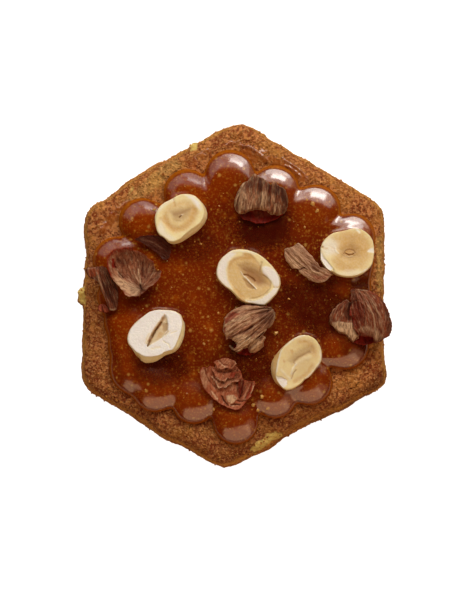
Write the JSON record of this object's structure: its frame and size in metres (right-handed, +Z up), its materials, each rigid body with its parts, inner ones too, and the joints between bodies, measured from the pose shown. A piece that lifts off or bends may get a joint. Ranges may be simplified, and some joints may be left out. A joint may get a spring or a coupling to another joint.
{
  "type": "hazelnut biscuit",
  "caption": "Hexagonal baked short-crust biscuit topped with a scalloped pool of piped caramel, halved hazelnuts and torn curls of hazelnut skin.",
  "frame": {"origin": "centre of the hexagon on the biscuit's flat underside, which it rests on", "axes": "+Z up out of the topping, +Y towards the corner that is at the top of the picture, +X to the right in the picture, so that two of the six sides face +X and -X"},
  "size_m": [0.0722, 0.0792, 0.0159],
  "materials": {
    "crust": "baked short crust, matt and crumbly, golden brown with paler patches at its cut edges",
    "caramel": "soft dark caramel, glossy and a little see-through, with fine golden specks in it",
    "kernel": "roasted hazelnut flesh, cream at its rim and tan round the hollow, with a soft sheen",
    "skin": "papery hazelnut skin, dull brown with fine lighter veins and reddish torn edges"
  },
  "bodies": {
    "root": {"biscuit": "crust", "caramel": "caramel", "hazelnut_1": "kernel", "hazelnut_2": "kernel", "hazelnut_3": "kernel", "hazelnut_4": "kernel", "hazelnut_5": "kernel", "skin_1": "skin", "skin_2": "skin", "skin_3": "skin", "skin_4": "skin", "skin_5": "skin", "skin_6": "skin", "skin_7": "skin", "skin_8": "skin"}
  },
  "joints": []
}
